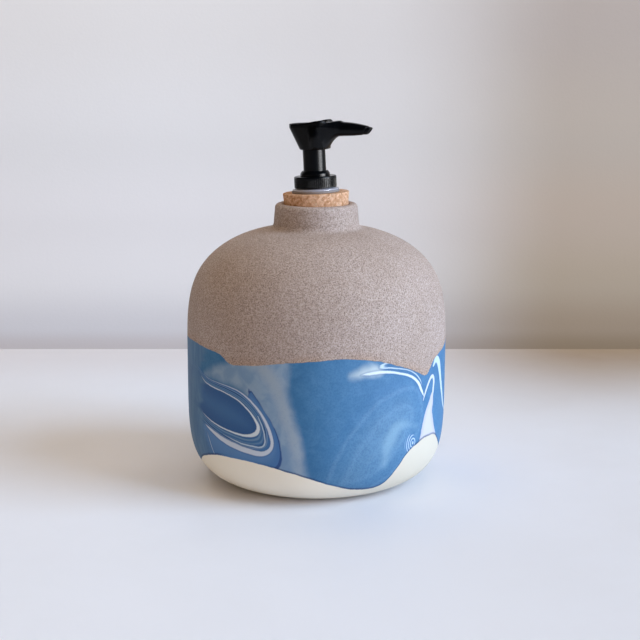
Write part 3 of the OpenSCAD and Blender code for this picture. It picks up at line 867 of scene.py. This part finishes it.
GLOSS = black_plastic("gloss_black_plastic", 0.22, 0.15, 0.06)
SATIN = black_plastic("satin_black_plastic", 0.30, 0.17, 0.05)
MILKY = milky_plastic("undyed_plastic", (160, 157, 166), 0.18)


def make_turned(name, corners, sides, material, body, node, spacing=0.7):
    """A leaned piece turned from its (r, z, rounding) corners."""
    points, faces = revolve(rounded(corners, spacing), sides)
    make_piece(name, lean(points), faces, material, body, [node])


def make_collar():
    """Ribbed ring with a shallow top wall; its ribs fade out at both ends."""
    ribs, deep, sharpness = 60, 0.26, 9
    inner_r, hole_r, lid = 8.3, 7.3, 1.3
    profile = rounded([(inner_r, COLLAR_LOW, 0.1), (COLLAR_R, COLLAR_LOW, 0.25), (COLLAR_R, COLLAR_HIGH, 0.7),
                       (hole_r, COLLAR_HIGH, 0.15), (hole_r, COLLAR_HIGH - lid, 0.1),
                       (inner_r, COLLAR_HIGH - lid, 0.1)], 0.4)
    points, faces = revolve(profile, ribs * 12)
    r, z = np.hypot(points[:, 0], points[:, 1]), points[:, 2]
    wave = 0.5 - 0.5 * np.cos(ribs * np.arctan2(points[:, 1], points[:, 0]))
    ends = smoothstep(COLLAR_LOW + 0.25, COLLAR_LOW + 0.6, z)
    ends = ends * smoothstep(COLLAR_HIGH - 0.75, COLLAR_HIGH - 1.2, z)
    depth = deep * wave ** sharpness * ends * (r > COLLAR_R - 0.2)
    points[:, :2] *= (1 - depth / r)[:, None]
    make_piece("ribbed_collar", lean(points), faces, GLOSS, "stopper", ["closure_collar"])


def make_pump():
    """The parts between cork and head, each turned from its profile."""
    washer_r, washer_hole = GASKET_R - 0.6, 7.6
    make_turned("foam_washer", [
        (washer_hole, GASKET_LOW, 0.1), (washer_r, GASKET_LOW, 0.3), (washer_r, FLANGE_Z, 0.3),
        (washer_hole, FLANGE_Z, 0.1)],
        192, foam(), "stopper", "flange_gasket")
    make_collar()
    lid, rim = 1.3, 0.9
    ledge = COLLAR_HIGH - lid - rim
    ring_r, plug_r, bore = 7.2, 6.45, STEM_R + 0.05
    make_turned("guide_bush", [
        (bore, GUIDE_LOW, 0.1), (plug_r, GUIDE_LOW, 0.2), (plug_r, ledge, 0.05), (GUIDE_R, ledge, 0.1),
        (GUIDE_R, ledge + rim, 0.1), (ring_r, ledge + rim, 0.1), (ring_r, GUIDE_HIGH - 1.3, 0.35),
        (ring_r - 0.9, GUIDE_HIGH, 0.3), (bore + 0.3, GUIDE_HIGH, 0.15), (bore, GUIDE_HIGH - 0.3, 0.1)],
        192, GLOSS, "stopper", "guide_cap")
    stem_bore = 4.2
    make_turned("stem_sleeve", [
        (stem_bore, STEM_LOW, 0.1), (STEM_R, STEM_LOW, 0.2), (STEM_R, STEM_HIGH, 0.2),
        (stem_bore, STEM_HIGH, 0.1)],
        160, SATIN, "actuator", "outer_stem", 1.0)
    # The barrel, up its outside and down its inside: tail, shoulder, flange, neck, cylinder, ball seat
    tail_r, barrel_r, inner_r, tail_bore, seat_r = 4.35, 7.5, 6.5, 2.95, 1.9
    flange_r, flange_top = FLANGE_R - 0.7, FLANGE_Z + 0.8
    make_turned("pump_barrel", [
        (tail_bore, HOUSING_LOW, 0.1), (tail_r, HOUSING_LOW, 0.3), (tail_r, 91.5, 0.8), (barrel_r, 96.5, 0.8),
        (barrel_r, FLANGE_Z, 0.2), (flange_r, FLANGE_Z, 0.3), (flange_r, flange_top, 0.4),
        (COLLAR_R - 0.6, FLANGE_Z + 0.9, 0.2), (COLLAR_R - 0.9, FLANGE_Z + 1.3, 0.1),
        (barrel_r, FLANGE_Z + 1.3, 0.3), (barrel_r, HOUSING_HIGH - 2, 0.2), (8.1, HOUSING_HIGH - 1.4, 0.15),
        (barrel_r, HOUSING_HIGH, 0.15), (inner_r, HOUSING_HIGH, 0.15), (inner_r, 98.5, 0.1), (3, 98.5, 0.1),
        (3, 94.5, 0.1), (seat_r, 93.1, 0.1), (seat_r, 91.5, 0.1), (tail_bore, 91.5, 0.1)],
        144, MILKY, "stopper", "pump_housing", 1.6)


# The head: a funnel whose rim follows a narrow back and two wings, a thumb dish in its top, and the spout
RIM_DISCS = np.array([(-6.1, 0.0, 5.75), (4.6, 5.2, 3.1), (9.4, 0.0, 3.9)])
BASE_R, HEAD_H = 6.75, 12.8
SPOUT_REACH, SPOUT_SLANT = 30.2, math.radians(38)
# Counted back from the slanted end: where the head stops and the tip starts
HEAD_END, TIP_START = 2.42, 2.3
# The liquid's way: its height above the head's base, and its radius
DUCT_UP, DUCT_R = 8, 1.3
DIRECTIONS = np.linspace(0, math.pi, 49)


def outline(x, y, share):
    """Distance outside the head's plan, share of the way from its round base to its rim."""
    n = np.stack([np.cos(DIRECTIONS), np.sin(DIRECTIONS)])
    rim = (RIM_DISCS[:, :2] @ n + RIM_DISCS[:, 2:]).max(0)
    best = np.full(len(x), -1e9)
    for k in range(len(DIRECTIONS)):
        best = np.maximum(best, x * n[0, k] + np.abs(y) * n[1, k] - (1 - share) * BASE_R - share * rim[k])
    return best


def spout_section(x):
    """Top, underside and half width of the spout at x."""
    rim = HEAD_Z + HEAD_H
    top = rim + 0.1 - 3.1 * (np.maximum(0, x - 12.5) / (SPOUT_REACH - 12.5)) ** 2
    top = top - 3.2 * smoothstep(12, 1, x) ** 1.2
    web = np.sqrt(np.maximum(0, 1 - (np.maximum(0, 14.6 - x) / 7.7) ** 2))
    under = rim - 6.75 - 7.15 * (1 - web) + 0.25 * smoothstep(20, 26, x)
    return top, under, 2.45 + 5.4 * np.exp((4 - x) / 6.5)


def past_tip(p, back):
    """Distance beyond the slanted plane across the spout."""
    x, z = p[:, 0] - (SPOUT_REACH - back), p[:, 2] - (HEAD_Z + HEAD_H - 3.05)
    return x * math.cos(SPOUT_SLANT) - z * math.sin(SPOUT_SLANT)


def spout_field(p, inset=0.0):
    """Below 0 inside the spout's rounded bar."""
    top, under, half = spout_section(p[:, 0])
    tall, wide = (top - under) / 2 - inset, half - inset
    a = np.abs(p[:, 1]) / wide
    b = np.abs(p[:, 2] - (top + under) / 2) / np.maximum(tall, 0.5)
    shape = ((a ** 2.5 + b ** 2.5) ** 0.4 - 1) * np.minimum(wide, tall)
    return smooth_max(shape, 2.0 - p[:, 0], 4.0)


def head_field(p):
    """Below 0 inside the head: funnel and spout, less the stem's socket and the liquid's way."""
    x, y, z = p.T
    up = z - HEAD_Z
    side = outline(x, y, np.clip(up / (HEAD_H - 2.0), 0, 1)) * 0.93
    within = -outline(x, y, np.ones(len(x)))
    rim = HEAD_H + 1.25 * smoothstep(-4.5, 6.6, x) - 1.6 * smoothstep(6.6, 9.8, x)
    dish = 1.5 * smoothstep(0.7, 3.2, within) + 0.5 * smoothstep(2.5, 7, within)
    body = smooth_max(side, up - rim + dish, 0.45)
    body = smooth_max(body, -up, 0.5)
    spout = smooth_max(spout_field(p), past_tip(p, HEAD_END), 0.25)
    whole = -smooth_max(-body, -spout, 3.2)
    whole = smooth_max(whole, past_tip(p, HEAD_END), 0.2)
    whole = smooth_max(whole, 0.05 - up, 0.4)
    across = np.hypot(x, y)
    stem = np.maximum(across - (STEM_R + 0.06), up - 3)
    cup = np.maximum(across - 3.65, up - 5)
    duct = np.maximum(np.hypot(y, up - DUCT_UP) - DUCT_R, DUCT_R - x)
    shaft = np.maximum(across - DUCT_R, np.maximum(up - DUCT_UP, 4 - up))
    hollow = np.minimum(np.minimum(stem, cup), np.minimum(duct, shaft))
    return smooth_max(whole, -hollow, 0.15)


def tip_field(p):
    """Below 0 inside the insert at the spout's end."""
    solid = smooth_max(spout_field(p, 0.16), past_tip(p, 0.0), 0.35)
    solid = smooth_max(solid, -past_tip(p, TIP_START), 0.15)
    duct = np.hypot(p[:, 1], p[:, 2] - HEAD_Z - DUCT_UP) - (DUCT_R + 0.05)
    return smooth_max(solid, -duct, 0.35)


def make_head():
    top = HEAD_Z + HEAD_H
    cell, tip_cell = 0.36, 0.2
    points, faces = surface_net(head_field, (-13.1, -9.6, HEAD_Z - 0.9), (30.6, 9.6, top + 1.4), cell)
    make_piece("press_head", lean(points), faces, GLOSS, "actuator", ["actuator_head"])
    points, faces = surface_net(tip_field, (24.0, -3.4, top - 8), (31.4, 3.4, top + 0.5), tip_cell)
    make_piece("spout_tip", lean(points), faces, SATIN, "actuator", ["nozzle_tip"])


def make_spring():
    """Wire coil with a closed turn at each end, on a mesh of its own."""
    outer_r, low, high = upright_box("return_spring")
    wire_r, turns, steps, sides = 0.4, 10, 48, 12
    closed = 2 * wire_r + 0.05
    rise = high - low - 2 * wire_r
    t = np.arange(turns * steps + 1) / steps
    climb = np.interp(t, [0, 1, turns - 1, turns], [0, closed, rise - closed, rise])
    angle, side = 2 * math.pi * t[:, None], 2 * math.pi * np.arange(sides) / sides
    r = outer_r - wire_r + wire_r * np.cos(side)
    z = low + wire_r + climb[:, None] + wire_r * np.sin(side)
    points = round_axis(r, angle, z)
    caps = [list(range(sides))[::-1], list(range(len(points) - sides, len(points)))]
    coil = make_piece("spring_coil", lean(points), ring_faces(len(t), sides, False) + caps,
                      steel("spring_wire_steel", 0.24, (1, 1, 0.2)), "stopper",
                      ["return_spring"])
    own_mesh(coil)


def dress_inner_nodes():
    """Materials for the CAD nodes that stay as they are."""
    seal = milky_plastic("soft_seal_plastic", (228, 222, 204), 0.42)
    ball = steel("polished_ball_steel", 0.12, (1, 1, 1))
    for node, material in (("valve_cage", MILKY), ("dip_tube", MILKY), ("piston_rod", MILKY),
                           ("piston_seal", seal), ("inlet_ball", ball),
                           ("outlet_ball", ball)):
        for slot in frame["nodes"][node].material_slots:
            slot.material = material


# ---- camera, stage and light
CAMERA_TURN = math.radians(20)
AWAY = Vector((-math.sin(CAMERA_TURN), math.cos(CAMERA_TURN), 0))
RIGHT = Vector((math.cos(CAMERA_TURN), math.sin(CAMERA_TURN), 0))
UP = Vector((0, 0, 1))


def seen(right, away, up):
    """A point in metres, as the camera sees the scene: to its right, away from it, and up."""
    return RIGHT * right + AWAY * away + UP * up


def make_camera():
    camera = bpy.data.objects.new("camera", bpy.data.cameras.new("camera"))
    camera.data.lens = 78.75
    camera.location = seen(0.00177, -0.6806, 0.2172)
    look_down = 11.5
    camera.rotation_euler = (math.radians(90 - look_down), 0, CAMERA_TURN)
    show(camera)
    bpy.context.scene.camera = camera


def make_stage():
    """A pale table whose far edge shows behind the bottle, and a wall well beyond it, both with painted
    shade.
    """
    g = Graph("table_top")
    marks = g.noise(0.02, 4, 0.6)
    x, y, _ = g.split(g.place)
    # Painted shade: the pale table is darker towards the right
    colour = g.mix(g.step(x, -40, 170), rgb(230, 230, 237), rgb(216, 214, 218))
    colour = g.mix(g.step(marks, 0.3, 0.7, 0, 0.3), colour, rgb(224, 224, 230))
    # Painted shade: darker towards the table's far edge, and brown in its far right corner by the wall
    colour = g.mix(g.step(y, 660, 800, 0, 0.9), colour, rgb(217, 211, 214))
    far_right_painted_shade = g.times(g.step(y, 570, 815), g.step(x, 20, 190))
    colour = g.mix(far_right_painted_shade, colour, rgb(150, 126, 100))
    rough = g.around(0.5, g.noise(0.05, 3), 0.15)
    table_paint_and_shade = g.finish(colour, rough, g.bump(g.noise(0.4), 0.03), Specular_IOR_Level=0.2)
    g = Graph("wall_paint_and_shade")
    x, _, z = g.split(g.place)
    wall_low, wall_span = -740.0, 380
    x, z = g.sum(x, g.wobble(0.004, 12)), g.times(g.sum(z, -wall_low), 1 / wall_span)
    # Painted shade: the wall is darker at its bottom, along the table's edge, and towards its top, and darker
    # and browner towards the right
    rises = (0.0, 0.06, 0.2, 0.4, 0.65, 1.0)
    left = g.ramp(z, rises, (219, 210, 212), (230, 226, 231), (241, 237, 240), (232, 228, 231),
                  (220, 217, 219), (211, 207, 207))
    right = g.ramp(z, rises, (150, 127, 102), (164, 142, 120), (175, 156, 136), (178, 159, 143),
                   (171, 157, 145), (162, 149, 141))
    across = g.sum(g.step(x, -210, 140, 0, 0.3), g.step(x, 60, 290, 0, 0.7))
    colour = g.mix(across, left, right)
    wall_paint_and_shade = g.finish(colour, 0.9, g.bump(g.noise(0.3, 3), 0.1))
    for name, size, at, paint in (
        ("table", (3.2, 1.6, 0.03), seen(0, -0.513, -0.015), table_paint_and_shade),
        ("wall", (4.4, 0.02, 3.2), seen(0, 0.93, 0.6), wall_paint_and_shade),
    ):
        mesh = bpy.data.meshes.new(name)
        work = bmesh.new()
        bmesh.ops.create_cube(work, size=1)
        bmesh.ops.scale(work, vec=size, verts=work.verts)
        bmesh.ops.bevel(work, geom=work.edges, offset=0.003, segments=3, affect="EDGES")
        work.to_mesh(mesh)
        work.free()
        mesh.materials.append(paint)
        thing = bpy.data.objects.new(name, mesh)
        thing.location = at
        thing.rotation_euler = (0, 0, CAMERA_TURN)
        show(thing)


def make_light(name, at, target, size, power, colour, diffuse=True, mirrored=True):
    """A soft light that may spare plain surfaces, or not be mirrored in glossy ones."""
    lamp = bpy.data.lights.new(name, "AREA")
    lamp.shape = "RECTANGLE"
    lamp.size, lamp.size_y = size
    lamp.energy = power
    lamp.color = colour
    holder = bpy.data.objects.new(name, lamp)
    holder.location = at
    holder.visible_diffuse, holder.visible_glossy = diffuse, mirrored
    holder.rotation_euler = (target - at).to_track_quat("-Z", "Y").to_euler()
    show(holder)


def make_lights():
    middle = Vector((0, 0, 0.08))
    make_light("window", seen(2.13, -0.78, 1.35), middle, (1.65, 1.65), 86, (0.54, 0.75, 1.0))
    make_light("window_foot", seen(2.07, -0.75, 0.19), middle, (1.0, 0.27), 16.5, (0.88, 0.93, 1.0))
    make_light("window_glint", seen(1.97, -1.0, 0.4), middle, (1.5, 0.8), 64, (1.0, 0.98, 0.97),
               diffuse=False)
    make_light("fill", seen(-1.6, -0.6, 0.3), middle, (1.6, 1.0), 5, (1.0, 0.79, 0.5), mirrored=False)
    make_light("ceiling", seen(0, 0.1, 2.1), middle, (2.2, 2.0), 23, (1.0, 0.86, 0.66), mirrored=False)
    make_light("front", seen(0.5, -2.1, 1.3), middle, (2.0, 1.4), 13, (1.0, 0.76, 0.57), mirrored=False)
    make_light("wall_wash", seen(-0.1, 0.45, 0.37), seen(-0.1, 0.93, 0.11), (2.4, 0.2), 3, (1.0, 0.98, 0.98))
    world = bpy.data.worlds.new("room")
    bpy.context.scene.world = world
    world.use_nodes = True
    air = world.node_tree.nodes["Background"].inputs
    air["Color"].default_value = rgb(226, 216, 206)
    air["Strength"].default_value = 0.02
    bpy.context.scene.view_settings.view_transform = "Standard"


make_camera()
make_stage()
make_lights()
make_bottle()
make_cork()
make_pump()
make_head()
make_spring()
dress_inner_nodes()
